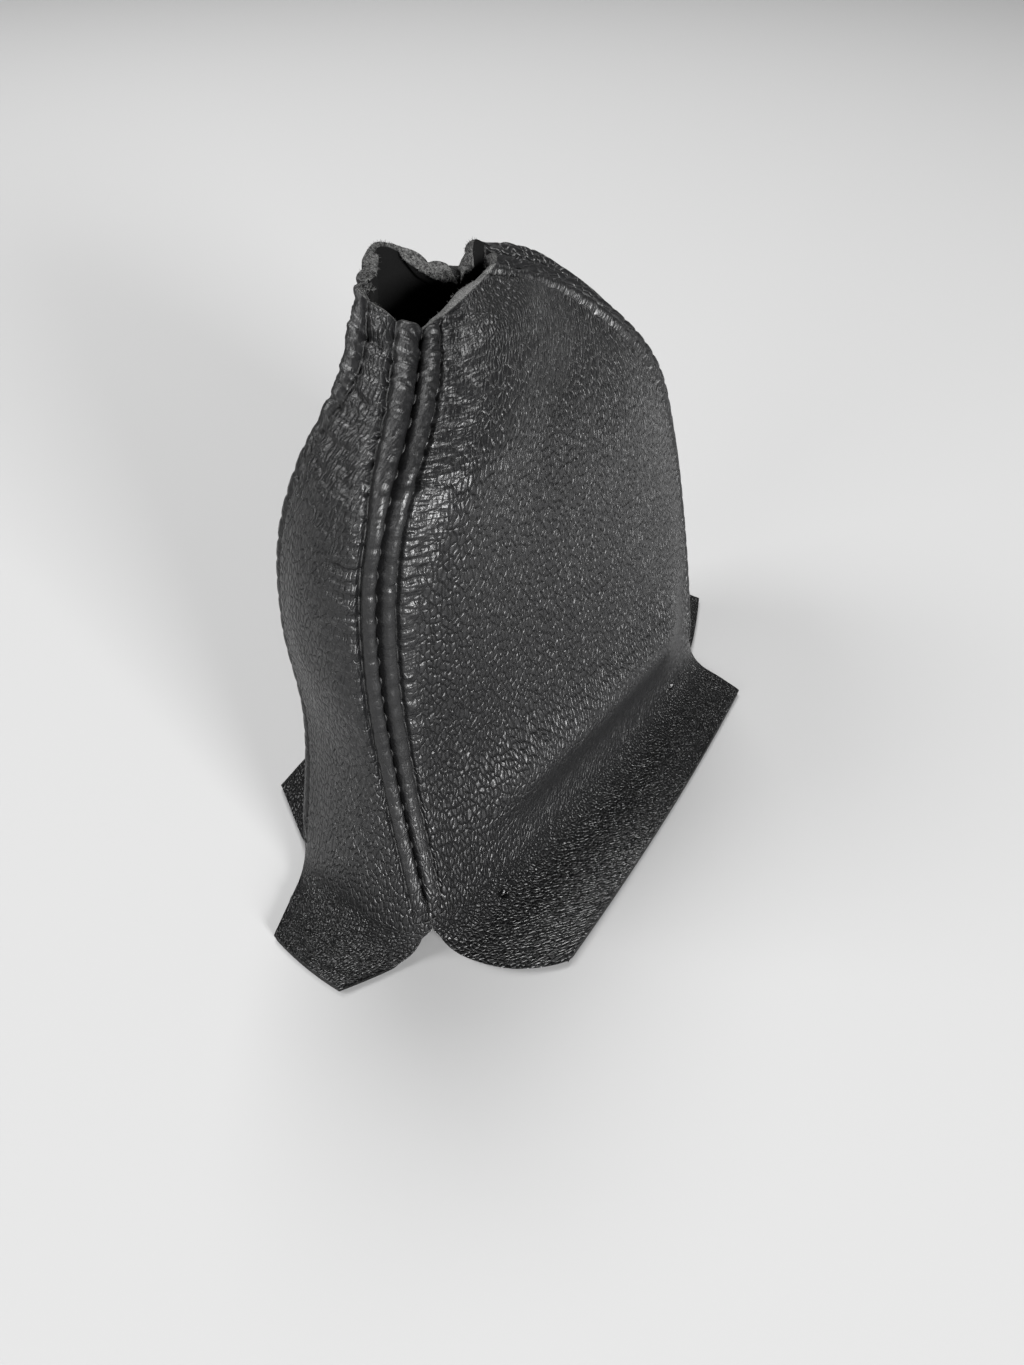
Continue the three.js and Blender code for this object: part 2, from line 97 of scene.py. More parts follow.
# Smooth curve through the values at the places: cubic between them, slopes blended from neighbouring spans.
def smoothThrough(places, values, at):
    x, y = np.array(places, float), np.array(values, float)
    span = np.diff(x)
    rate = np.diff(y) / span
    inner = (span[1:] * rate[:-1] + span[:-1] * rate[1:]) / (span[1:] + span[:-1])
    slope = np.concatenate([rate[:1], inner, rate[-1:]])
    i = np.clip(np.searchsorted(x, at, side="right") - 1, 0, len(span) - 1)
    t = (at - x[i]) / span[i]
    first = (2 * t**3 - 3 * t**2 + 1) * y[i] + (t**3 - 2 * t**2 + t) * span[i] * slope[i]
    return first + (3 * t**2 - 2 * t**3) * y[i + 1] + (t**3 - t**2) * span[i] * slope[i + 1]


def smoothStep(x, low, high):
    t = np.clip((x - low) / (high - low), 0, 1)
    return t * t * (3 - 2 * t)


def bell(x, centre, width):
    return np.exp(-(((x - centre) / width) ** 2))


def blendBetween(a, b, t):
    return a + (b - a) * t


def unit(v):
    return v / np.maximum(np.linalg.norm(v, axis=-1, keepdims=True), 1e-12)


# How far a level is into the last fifth below the rim, squared.
def nearRim(level):
    return np.clip((level - 0.8) / 0.2, 0, 1) ** 2


def cornerAt(share, centre, size):
    return centre[0] + share[0] * size[0] / 2, centre[1] + share[1] * size[1] / 2


# A point of seam k: shares of the way from its hem corner to its rim corner, in X, Y and Z.
def seamPoint(k, level):
    seam = seams[k % 4]
    hem = cornerAt(seam["hem"], gaiter["hemCentre"], gaiter["hemSize"])
    rim = cornerAt(seam["rim"], gaiter["rimCentre"], gaiter["rimSize"])
    x = blendBetween(hem[0], rim[0], smoothThrough(gaiter["stations"], seam["along"], level))
    y = blendBetween(hem[1], rim[1], smoothThrough(gaiter["stations"], seam["across"], level))
    climb = smoothThrough(gaiter["stations"], gaiter["heights"], level)
    z = blendBetween(gaiter["hemHeight"], gaiter["rimHeight"], climb)
    return np.stack([x, y, z + seam["lift"] * gaiter["rimSize"][1] * nearRim(level)], -1)


def levelVector(start, end):
    v = end - start
    v[..., 2] = 0
    return v


# The level direction in which the leather crosses seam k: from the seam before to the one after, then turned.
def seamTangent(k, level):
    turn = np.radians(np.interp(level, gaiter["levels"], seams[k % 4]["turn"]))
    d = unit(levelVector(seamPoint(k + 3, level), seamPoint(k + 1, level)))
    c, s = np.cos(turn), np.sin(turn)
    return np.stack([c * d[..., 0] - s * d[..., 1], s * d[..., 0] + c * d[..., 1], 0 * c], -1)


# Panel k above its hem: a cubic curve between two seams, a bulge of sine squared, and a lift of the rim.
def bodyPoint(k, u, level):
    panel = panels[k]
    start, end = seamPoint(k, level), seamPoint(k + 1, level)
    chord = levelVector(start, end)
    reach = np.linalg.norm(chord, axis=-1) * np.interp(level, gaiter["levels"], panel["fullness"])
    startHandle = start + seamTangent(k, level) * reach[:, None]
    endHandle = end - seamTangent(k + 1, level) * reach[:, None]
    w = u[..., None]
    point = (1 - w) ** 3 * start[:, None] + 3 * (1 - w) ** 2 * w * startHandle[:, None]
    point = point + 3 * (1 - w) * w**2 * endHandle[:, None] + w**3 * end[:, None]
    outward = unit(np.stack([chord[:, 1], -chord[:, 0], 0 * reach], -1))
    crown = gaiter["hemSize"][1] * np.interp(level, gaiter["levels"], panel["crown"])
    point = point + outward[:, None] * (crown[:, None] * np.sin(np.pi * u) ** 2)[..., None]
    peaked = np.clip(u, 0, 1) ** (math.log(0.5) / math.log(panel["rimPeak"]))
    lift = panel["rise"] * gaiter["rimSize"][1] * nearRim(level)
    point[..., 2] += lift[:, None] * np.sin(np.pi * peaked) ** 2
    return point


def flangeEdge(k):
    edge = [np.array([x * gaiter["footprint"][0] / 2, y * gaiter["footprint"][1] / 2, 0])
            for x, y in panels[k]["outerEdge"]]
    along = unit(edge[1] - edge[0])
    return edge[0], edge[1], along, np.array([along[1], -along[0], 0])


# Panel k below its hem: down through a quarter circle, then flat out to the outer edge, share 0 to 1.
def flangePoint(k, u, share):
    panel, bend = panels[k], gaiter["hemHeight"] - gaiter["leather"]
    first, last, along, outward = flangeEdge(k)
    drawn = smoothStep(share, 0, gaiter["slitOpenShare"]) / np.linalg.norm(last - first)
    low, high = seams[k]["slit"] * drawn, 1 - seams[(k + 1) % 4]["slit"] * drawn
    point = bodyPoint(k, blendBetween(low[:, None], high[:, None], u), np.zeros(len(share)))
    goal = levelVector(point, blendBetween(first, last, u[..., None]))
    goal = goal + outward * (panel["bow"] * gaiter["footprint"][1] * 4 * u * (1 - u))[..., None]
    width = goal @ outward
    travelled = share[:, None] * (width + (math.pi / 2 - 1) * bend)
    angle = np.minimum(travelled / bend, math.pi / 2)
    out = bend * (1 - np.cos(angle)) + np.maximum(travelled - bend * math.pi / 2, 0)
    spread = (out / width) ** blendBetween(panel["spread"][0], panel["spread"][1], u)
    point = point + outward * out[..., None] + along * ((goal @ along) * spread)[..., None]
    point[..., 2] -= bend * np.sin(angle)
    return point


def flangeWidth(k):
    middle, edge = np.full((1, 1), 0.5), flangeEdge(k)[3]
    out = (flangePoint(k, middle, np.ones(1)) - flangePoint(k, middle, np.zeros(1))) @ edge
    return float(out[0, 0]) + (math.pi / 2 - 1) * (gaiter["hemHeight"] - gaiter["leather"])


# Length of each line of points, from its start up to every point.
def runAlong(lines):
    steps = np.linalg.norm(np.diff(lines, axis=-2), axis=-1)
    return np.concatenate([np.zeros(steps.shape[:-1] + (1,)), np.cumsum(steps, -1)], -1)


def lineAt(at, run, line):
    return np.stack([np.interp(at, run, line[:, axis]) for axis in range(3)], -1)


# Lengths of the rows at the levels, and a function that turns distances along them into shares u.
def rowRuler(k, level):
    shares = np.linspace(0, 1, 161)
    run = runAlong(bodyPoint(k, np.tile(shares, (len(level), 1)), level))
    return run[:, -1], lambda d: np.stack([np.interp(a, b, shares) for a, b in zip(d, run)])


def seamClimb(k, level):
    step = 1e-3
    return unit(seamPoint(k, np.minimum(level + step, 1)) - seamPoint(k, np.maximum(level - step, 0)))


# A seam that leans along the rows is crossed at a slant: 1 over the sine of the angle between them.
def seamSlant(k, level):
    sine = np.linalg.norm(np.cross(seamTangent(k, level), seamClimb(k, level)), axis=-1)
    return np.minimum(1 / sine, gaiter["steepestSlant"])


# Cosine of that angle, by which a point out along a row lies further up the seam than the row's end.
def seamLean(k, level):
    return (seamTangent(k, level) * seamClimb(k, level)).sum(-1)


def rowSlants(k, level, length):
    a, b = seamSlant(k, level), seamSlant(k + 1, level)
    room = (length - gaiter["middleRoom"]) / (gaiter["faceEnd"] * (a + b))
    return a * np.minimum(1, room), b * np.minimum(1, room)


# Length of seam k from the hem up to each level.
def seamRunTo(k, level):
    fine = np.linspace(0, 1, 600)
    return np.interp(level, fine, runAlong(seamPoint(k, fine)))


def levelAtRun(k, run):
    fine = np.linspace(0, 1, 600)
    return np.interp(run, seamRunTo(k, fine), fine)


# Lattice noise from -1 to 1: hashed values at whole places, blended between them with a quintic step.
def noiseAt(x, y, z, seed):
    out = 0
    base = [np.floor(a).astype(np.int64) for a in (x, y, z)]
    f = [a - b for a, b in zip((x, y, z), base)]
    f = [t * t * t * (t * (t * 6 - 15) + 10) for t in f]
    for corner in range(8):
        bits = [(corner >> axis) & 1 for axis in range(3)]
        h = sum((b + bit) * prime for b, bit, prime in zip(base, bits, (374761393, 668265263, 2147483647)))
        h = (h + seed * 974634777) & 0xFFFFFFFF
        h = ((h ^ (h >> 13)) * 1274126177) & 0xFFFFFFFF
        h = ((h ^ (h >> 16)) * 2246822519) & 0xFFFFFFFF
        value = ((h ^ (h >> 15)) & 0xFFFF) / 32767.5 - 1
        weight = 1
        for t, bit in zip(f, bits):
            weight = weight * (t if bit else 1 - t)
        out = out + value * weight
    return out


# Two-way noise over a surface, stretched: x and y are already divided by the lengths wanted.
def flatNoise(x, y, seed, octaves=1):
    total, weight, size = 0, 1.0, 0.0
    for octave in range(octaves):
        scale = 2.03**octave
        total = total + weight * noiseAt(x * scale, y * scale, np.full_like(x, 0.37 + seed), seed * 7 + octave)
        size += weight
        weight *= 0.55
    return total / size


# Relief of the leather beside a seam. The fold turns down in a quarter circle, a puffed strip lies between
# the joint and the row of stitches, the row is a groove with holes, and gathers run out from it across the
# seam.
relief = {
    "foldRadius": (1.3, 2.3, 1.7), "puff": (0.7, 1.15, 0.8), "puffWidth": 4.2, "puffPinch": 0.22, "pitch": 5.3,
    "groove": 0.6, "grooveWidth": 0.5, "hole": 0.35, "holeLength": 0.75,
    "seamFade": (3.0, 9.0), "sunkEdge": 0.6,
    "shoulder": 0.4, "shoulderAt": 6.2, "shoulderWidth": 1.6, "pillow": 0.12,
    "gape": 0.32, "gapeRun": (6, 12), "gapeReach": 2.2,
    "gather": 0.95, "gatherLength": 1.5, "gatherAcross": 4.6, "gatherRun": (0, 14), "wave": 0.85,
    "coarse": 0.6, "coarseLength": 3.3, "coarseAcross": 8, "sway": 1.4, "swayAcross": 6, "swayLength": 9,
    "onStrip": 0.25, "onStripAtRim": 1.5, "stripRise": (0.84, 0.96),
}


def stitchHoles(run):
    phase = (run / relief["pitch"]) % 1
    away = np.minimum(phase, 1 - phase) * relief["pitch"]
    return bell(away, 0, relief["holeLength"])


# How far the joint gapes between the stitches that hold it.
def jointOpening(run):
    return relief["gape"] * (1 - stitchHoles(run + relief["pitch"] / 2)) * smoothStep(run, *relief["gapeRun"])


# The first value on the lower part of a seam, the second from 0.7 of its way up, and the third at the rim.
def alongSeam(values, level):
    upper = smoothStep(level, 0.3, 0.7)
    return values[0] + (values[1] - values[0]) * upper + (values[2] - values[1]) * smoothStep(level, 0.85, 1)


# Share of gathering at d mm from a seam. It fades round the reach, which widens up the seam.
def gatherShare(d, level, wide):
    reach = wide * (0.55 + 0.45 * smoothStep(level, 0.4, 0.9))
    return (1 - smoothStep(d, 0.55 * reach, 1.1 * reach)) * smoothStep(level, 0.05, 0.45)


def seamRelief(k, d, run, crossRun, level, seed, strength, wide):
    r, deep = relief, seams[k % 4]["deep"]
    grown = smoothStep(run, *r["seamFade"])
    radius = alongSeam(r["foldRadius"], level)
    fold = np.clip(1 - d / radius, 0, 1)
    turned = -radius * (1 - np.sqrt(np.clip(1 - fold**2, 0, 1)))
    inPuff = np.clip(d / r["puffWidth"], 0, 1)
    holes = stitchHoles(run)
    puff = alongSeam(r["puff"], level) * np.sin(np.pi * inPuff) ** 0.9 * (1 - r["puffPinch"] * holes)
    groove = -deep * (r["groove"] + r["hole"] * holes) * bell(d, r["puffWidth"], deep * r["grooveWidth"])
    shoulder = (r["shoulder"] - r["pillow"] * 2 * holes) * bell(d, r["shoulderAt"], r["shoulderWidth"])
    share = gatherShare(d, level, wide)
    swayed = crossRun + r["sway"] * flatNoise(d / r["swayAcross"], crossRun / r["swayLength"], seed + 3)
    wave = flatNoise(swayed / r["gatherLength"], d / r["gatherAcross"], seed, 2)
    coarse = flatNoise(swayed / r["coarseLength"], d / r["coarseAcross"], seed + 1, 2)
    gathers = r["gather"] * strength * share * (r["wave"] * wave + r["coarse"] * (0.5 - np.abs(coarse)))
    stripShare = r["onStrip"] + r["onStripAtRim"] * smoothStep(level, *r["stripRise"])
    inside = np.where(d < r["puffWidth"], stripShare, 1)
    return grown * (turned + puff + groove + shoulder) + smoothStep(run, *r["gatherRun"]) * gathers * inside


# Broad forms of the leather, in mm. Pairs are where a form starts and where it is full: from a panel's first
# seam (near) and its second (far), up the panel (climb) and below the rim (rim). The swell fades over its
# end.
folds = {
    "uneven": {"height": 0.45, "across": 21, "along": 26},
    "small": {"height": 0.05, "across": 4.0, "along": 4.0},
    "swell": {"height": 4.4, "near": (2, 18), "end": (18, 48), "climb": (0.2, 0.55), "rim": (0, 16)},
    "streaks": {"height": 0.06, "across": 2.0, "along": 13, "from": (30, 70)},
    "bulge": {"height": 4.4, "at": 24, "width": 10.5, "near": (12, 38), "far": (10, 32)},
    "ridges": {"height": 1.5, "length": 4.2, "at": 11, "width": 6, "climb": (0.72, 0.86), "rim": (1, 8)},
    "creases": {"height": 0.6, "across": 8, "along": 2.6, "outwards": (0.25, 0.5), "edge": (0, 0.05)},
    "cuts": {"height": 0.35, "across": 7, "along": 3.4}, "calm": (0, 8), "aboveHem": (-0.05, 0.12),
}


def unevenness(key, s, run, seed):
    form = folds[key]
    return form["height"] * flatNoise(s / form["across"], run / form["along"], seed, 2)


# The unevenness of each panel, and the folds that the photograph shows on the right and the rear panel.
def panelFolds(k, s, run, level, dA, dB):
    fromRim = (1 - level) * gaiter["seamRun"]
    h = unevenness("uneven", s, run, 40 + k) + unevenness("small", s, run, 60 + k)
    if panels[k]["name"] == "right_panel":
        swell, bulge = folds["swell"], folds["bulge"]
        beside = smoothStep(dA, *swell["near"]) * (1 - smoothStep(dA, *swell["end"]))
        upper = smoothStep(level, *swell["climb"]) * smoothStep(fromRim, *swell["rim"])
        h = h + swell["height"] * beside * upper
        h = h + unevenness("streaks", s, run, 51) * smoothStep(s, *folds["streaks"]["from"])
        h = h + bulge["height"] * bell(run, bulge["at"], bulge["width"]) * betweenSeams(bulge, dA, dB)
    if panels[k]["name"] == "rear_panel":
        r = folds["ridges"]
        waves = np.sin(2 * np.pi * (dA / r["length"] + 0.25 * flatNoise(run / 16, dA / 9, 71)))
        place = bell(dA, r["at"], r["width"]) * smoothStep(level, *r["climb"]) * smoothStep(fromRim, *r["rim"])
        h = h + r["height"] * waves * place
    return h


def betweenSeams(form, dA, dB):
    return smoothStep(dA, *form["near"]) * smoothStep(dB, *form["far"])


# Folds of the flange, which start a little way out from the hem and stop short of its edge.
def flangeCreases(k, s, run, level):
    creased = unevenness("creases", s, run, 80 + k) - np.abs(unevenness("cuts", s, run, 84 + k))
    creased = creased * panels[k]["flangeCreases"] * smoothStep(-level, *folds["creases"]["outwards"])
    return creased * smoothStep(1 + level, *folds["creases"]["edge"])


# Folds of the front panel's rim, each as its height, its place below the rim and its width. The slanting
# crease has its place at slantFrom from the front seam, rises by the slope away from it, and ends at slantTo.
rimFolds = {"near": (3.6, 5.4), "far": (4.6, 6.2), "puff": (0.5, 3.2, 2.4), "crease": (0.8, 6.6, 0.8),
            "sway": 0.8, "slanting": (0.5, 22, 1.0), "slope": 1.1,
            "slantFrom": 5, "slantTo": 12, "slantFade": 3}


# The front panel's rim is puffed between its seams, with a crease below it and a second, slanting one.
def frontRimFolds(level, dA, dB):
    f, fromRim = rimFolds, (1 - level) * gaiter["seamRun"]
    def fold(key, shift=0):
        height, at, width = f[key]
        return height * bell(fromRim, at + shift, width)
    crease = fold("crease", f["sway"] * np.sin(dB / 2))
    slanting = fold("slanting", -f["slope"] * (dB - f["slantFrom"]))
    slanting = slanting * smoothStep(f["slantTo"] - dB, 0, f["slantFade"])
    return betweenSeams(f, dA, dB) * (fold("puff") - crease - slanting)


# Two punched holes in the bend of the right flange: place along X, and run below the hem.
pinholes = {"places": ((-53, -4.54), (38.5, -1.67)), "depth": 2.2, "radius": 0.9,
            "pucker": 0.5, "puckerAt": 2.4, "puckerWidth": 1.0}


def pinholeRelief(x, run):
    h = 0
    for place, holeRun in pinholes["places"]:
        away = np.hypot(x - place, run - holeRun)
        h = h - pinholes["depth"] * bell(away, 0, pinholes["radius"])
        h = h + pinholes["pucker"] * bell(away, pinholes["puckerAt"], pinholes["puckerWidth"])
    return h


# The upper body starts at the level upperFrom. Beside each seam so many fine columns take up this width in
# mm.
fineGrid = {"upperFrom": 0.55, "columns": 34, "width": 6.4, "mostOfRow": 0.4, "firstColumn": 0.05}


# Rows of a panel, evened out: the flange, the lower body and the upper body have their own numbers of rows.
def panelLevels(k):
    onFlange, lower, upper = panels[k]["rows"]
    down = -np.linspace(1, 0, onFlange, endpoint=False)
    low = np.linspace(0, fineGrid["upperFrom"], lower, endpoint=False)
    return np.concatenate([down, low, np.linspace(fineGrid["upperFrom"], 1, upper)])


# Distances along each row: evenly fine beside both seams, evenly coarser between.
def columnDistances(count, length, slantA, slantB):
    fine, edge = fineGrid["columns"], fineGrid["firstColumn"]
    widest = fineGrid["mostOfRow"] * length
    widthA, widthB = (np.minimum(fineGrid["width"] * slant, widest) for slant in (slantA, slantB))
    t = np.concatenate([[0], np.linspace(0, 1, fine - 1, endpoint=False)])
    start = edge + (widthA - edge)[:, None] * t
    end = (length - edge)[:, None] - (widthB - edge)[:, None] * t[::-1]
    middle = np.linspace(0, 1, count - 2 * fine + 1)[:-1]
    between = widthA[:, None] + (length - widthA - widthB)[:, None] * middle
    last = (length - widthB)[:, None]
    return np.concatenate([start, between, last, end], 1)


def surfaceGrid(k, u, level):
    onFlange = level < 0
    parts = []
    if onFlange.any():
        parts.append(flangePoint(k, u[onFlange], -level[onFlange]))
    if (~onFlange).any():
        parts.append(bodyPoint(k, u[~onFlange], level[~onFlange]))
    return np.concatenate(parts)


def gridNormals(points):
    across = np.gradient(points, axis=1)
    up = np.gradient(points, axis=0)
    return unit(np.cross(across, up))


def buildMesh(name, points, quads, tris, materials, uv=None, attributes=None, material=None):
    mesh = bpy.data.meshes.new(name)
    mesh.vertices.add(len(points))
    mesh.vertices.foreach_set("co", (points / 1000).astype(np.float32).ravel())
    corners = np.concatenate([quads.ravel(), tris.ravel()]).astype(np.int32)
    sizes = np.concatenate([np.full(len(quads), 4), np.full(len(tris), 3)]).astype(np.int32)
    mesh.loops.add(len(corners))
    mesh.loops.foreach_set("vertex_index", corners)
    mesh.polygons.add(len(sizes))
    mesh.polygons.foreach_set("loop_start", np.concatenate([[0], np.cumsum(sizes)[:-1]]).astype(np.int32))
    mesh.polygons.foreach_set("loop_total", sizes)
    mesh.polygons.foreach_set("use_smooth", np.ones(len(sizes), bool))
    if uv is not None:
        layer = mesh.uv_layers.new(name="leatherMap")
        layer.data.foreach_set("uv", (uv[corners] / 1000).astype(np.float32).ravel())
    for key, values in (attributes or {}).items():
        mesh.attributes.new(key, "FLOAT", "POINT").data.foreach_set("value", values.astype(np.float32))
    mesh.update(calc_edges=True)
    for each in materials:
        mesh.materials.append(each)
    if material is not None:
        mesh.polygons.foreach_set("material_index", material.astype(np.int32))
    mesh.validate()
    piece = bpy.data.objects.new(name, mesh)
    bpy.context.scene.collection.objects.link(piece)
    return piece


# Closes one end of a lofted ring: each step along the face joins the nearest back point.
def endCap(faceRow, backRow, flip):
    near = np.round(np.linspace(0, len(backRow) - 1, len(faceRow))).astype(int)
    first = np.stack([faceRow[:-1], backRow[near[:-1]], faceRow[1:]], 1)
    steps = np.nonzero(np.diff(near))[0]
    second = np.stack([faceRow[steps + 1], backRow[near[steps]], backRow[near[steps + 1]]], 1)
    tris = np.concatenate([first, second])
    return tris[:, ::-1] if flip else tris


# Tubes round many short paths at once: paths is (tubes, rings, 3), radii narrow towards both ends.
def tubes(paths, ups, radius, sides):
    tangent = unit(np.gradient(paths, axis=1))
    side = unit(np.cross(tangent, ups))
    over = np.cross(side, tangent)
    angle = 2 * np.pi * np.arange(sides) / sides
    ring = side[:, :, None] * np.cos(angle)[:, None] + over[:, :, None] * np.sin(angle)[:, None]
    points = paths[:, :, None] + ring * radius[..., None, None]
    count, rings = paths.shape[:2]
    base = (np.arange(count) * rings * sides)[:, None, None]
    r, c = np.meshgrid(np.arange(rings - 1), np.arange(sides), indexing="ij")
    a, b = base + r * sides + c, base + r * sides + (c + 1) % sides
    quads = np.stack([a, a + sides, b + sides, b], -1).reshape(-1, 4)
    fan = np.stack([np.zeros(sides - 2, int), np.arange(1, sides - 1), np.arange(2, sides)], 1)
    low = (base + fan).reshape(-1, 3)
    high = (base + (rings - 1) * sides + fan[:, ::-1]).reshape(-1, 3)
    return points.reshape(-1, 3), quads, np.concatenate([low, high])


# Ends of a panel's shell: the rows that round them off lie at these depths, as shares of the thickness, and
# reach out by so many mm. rough is the wobble of the raw rim, as a weight and a length for each of two
# noises.
cutEdge = {"depths": (0.04, 0.14, 0.42), "reach": (0.07, 0.1, 0.12), "rimReach": (0.22, 0.5, 0.8),
           "wobble": 0.2, "rough": ((1, 1.1), (0.7, 3.5)), "mapSteps": (0.4, 0.8, 1.2)}
fibres = {"perMm": 30, "length": (0.2, 0.85), "radius": 0.06, "rings": 4, "sides": 3, "curl": 0.5,
          "depth": (0.25, 1), "outward": (0.3, 1), "sideways": 0.8, "upright": 0.35,
          "root": -0.15, "tip": 0.35}


# Torn fibres along a raw edge. Each is a thin bent tube: a root between face and back, a leaning direction
# and a curl that grows with the square of the way along it.
def rimFibres(faceLine, backLine, outLine, seed, share):
    random = np.random.default_rng(seed)
    run = runAlong(faceLine)
    count = int(fibres["perMm"] * run[-1] * share)
    at, depth = np.sort(random.uniform(0, run[-1], count)), random.uniform(*fibres["depth"], count)
    face, back, out = (lineAt(at, run, line) for line in (faceLine, backLine, outLine))
    out, inward = unit(out), unit(back - face)
    root = face + (back - face) * depth[:, None]
    sideways = unit(np.cross(inward, out)) * random.uniform(-1, 1, count)[:, None]
    outwards = out * random.uniform(*fibres["outward"], count)[:, None]
    lean = unit(outwards + inward * (depth - fibres["upright"])[:, None] + fibres["sideways"] * sideways)
    curl = unit(random.normal(0, 1, (count, 3))) * fibres["curl"]
    length = random.uniform(*fibres["length"], count)[:, None, None]
    t = np.linspace(fibres["root"], 1, fibres["rings"])[None, :, None]
    paths = root[:, None] + length * (lean[:, None] * t + curl[:, None] * t * np.abs(t))
    taper = np.linspace(1, fibres["tip"], fibres["rings"]) * fibres["radius"]
    ups = np.broadcast_to(inward[:, None], paths.shape)
    return tubes(paths, ups, np.broadcast_to(taper, paths.shape[:2]), fibres["sides"])


# What the rows and columns of panel k are measured by, in mm: dA and dB from its two seams, runA and runB up
# them from the hem and below 0 on the flange. crossA and crossB follow a seam's lean out along the rows.
def panelPlan(k):
    panel, level = panels[k], panelLevels(k)
    hemLevel = np.maximum(level, 0)
    length, shareAt = rowRuler(k, hemLevel)
    slantA, slantB = rowSlants(k, hemLevel, length)
    dist = columnDistances(panel["columns"], length, slantA, slantB)
    p = SimpleNamespace(rowLevel=level, level=level[:, None], shareAt=shareAt, dist=dist)
    p.length, p.slantA, p.slantB = length[:, None], slantA[:, None], slantB[:, None]
    p.dA, p.dB = seamDistances(p, dist)
    flangeRun = np.where(level < 0, level * flangeWidth(k), 0)
    p.runA = (seamRunTo(k, hemLevel) + flangeRun)[:, None]
    p.runB = (seamRunTo(k + 1, hemLevel) + flangeRun)[:, None]
    p.run = p.runA * (1 - dist / p.length) + p.runB * (dist / p.length)
    leanA, leanB = seamLean(k, hemLevel)[:, None], seamLean(k + 1, hemLevel)[:, None]
    reach = panel["leanReach"]
    p.crossA = p.runA + reach * (1 - np.exp(-dist / reach)) * leanA
    p.crossB = p.runB - reach * (1 - np.exp((dist - p.length) / reach)) * leanB
    p.grown = smoothStep(p.runA, *relief["seamFade"])
    return p


def seamDistances(plan, dist):
    return dist / plan.slantA, (plan.length - dist) / plan.slantB


# The surface below the relief, with the joints gaping a little between the stitches that hold them.
def plainSurface(k, plan):
    shiftA = jointOpening(plan.runA) * np.clip(1 - plan.dA / relief["gapeReach"], 0, 1)
    shiftB = jointOpening(plan.runB) * np.clip(1 - plan.dB / relief["gapeReach"], 0, 1)
    shiftA[:, 0], shiftB[:, -1] = 0, 0
    return surfaceGrid(k, plan.shareAt(plan.dist + shiftA - shiftB), plan.rowLevel)


# Height of the face over the plain surface. Its first and last columns are sunk into the joints.
def panelRelief(k, p, plain):
    (strongA, wideA), (strongB, wideB) = panels[k]["gathers"]
    height = seamRelief(k, p.dA, p.runA, p.crossA, p.level, 10 + k, strongA, wideA)
    height = height + seamRelief(k + 1, p.dB, p.runB, p.crossB, p.level, 20 + k, strongB, wideB)
    calm = smoothStep(np.minimum(p.dA, p.dB), *folds["calm"]) * smoothStep(p.level, *folds["aboveHem"])
    height = height + panelFolds(k, p.dist, p.run, p.level, p.dA, p.dB) * calm
    if panels[k]["name"] == "right_panel":
        height = height + pinholeRelief(plain[..., 0], p.run)
    if panels[k]["name"] == "front_panel":
        height = height + frontRimFolds(p.level, p.dA, p.dB)
    height = height + flangeCreases(k, p.dist, p.run, p.level)
    height[:, [0, -1]] -= relief["sunkEdge"] * p.grown
    return height


# Thickness below the face: one layer of leather, and a second within the turned allowances.
def thicknessAt(dA, dB, grown):
    end = gaiter["allowanceWidth"] + gaiter["allowanceStep"]
    folded = 1 - smoothStep(np.minimum(dA, dB), gaiter["allowanceWidth"], end)
    return gaiter["leather"] + gaiter["allowance"] * folded * grown


# Face and back of a panel as grids. The face is the plain surface moved along its normals by the relief. The
# back has fewer columns, lies the thickness below and keeps clear of the joints.
def panelShell(k, p):
    plain = plainSurface(k, p)
    height, normal = panelRelief(k, p, plain), gridNormals(plain)
    count = p.dist.shape[1]
    columns = np.unique(np.append(np.arange(0, count, gaiter["backStep"]), count - 1))
    nose = gaiter["noseInset"] * p.grown * (1 + nearRim(p.level))
    backDist = np.clip(p.dist[:, columns], nose * p.slantA, p.length - nose * p.slantB)
    shell = SimpleNamespace(plain=plain, normal=normal, columns=columns, backDist=backDist)
    shell.thick = thicknessAt(*seamDistances(p, backDist), p.grown)
    shell.backNormal = normal[:, columns]
    shell.face = plain + normal * height[..., None]
    shell.faceThick = thicknessAt(p.dA, p.dB, p.grown) + np.minimum(height, 0)
    shell.back = surfaceGrid(k, p.shareAt(backDist), p.rowLevel) - shell.backNormal * shell.thick[..., None]
    return shell


# Rows that round off one end of a shell, row by row outwards, as face and back draw together.
def roundedRows(shell, row, inner, reach, wobble, slope):
    out = unit(shell.plain[row] - shell.plain[inner])
    rows = []
    for depth, far in zip(cutEdge["depths"], reach):
        push = far + wobble * depth / cutEdge["depths"][-1]
        faceLine = shell.face[row] - shell.normal[row] * (shell.faceThick[row] * depth)[:, None]
        backLine = shell.back[row] + shell.backNormal[row] * (shell.thick[row] * depth)[:, None]
        faceLine = faceLine + out * (push + slope * depth)[:, None]
        backLine = backLine + (out * (push + slope * (1 - depth))[:, None])[shell.columns]
        rows.append((faceLine, backLine))
    return rows


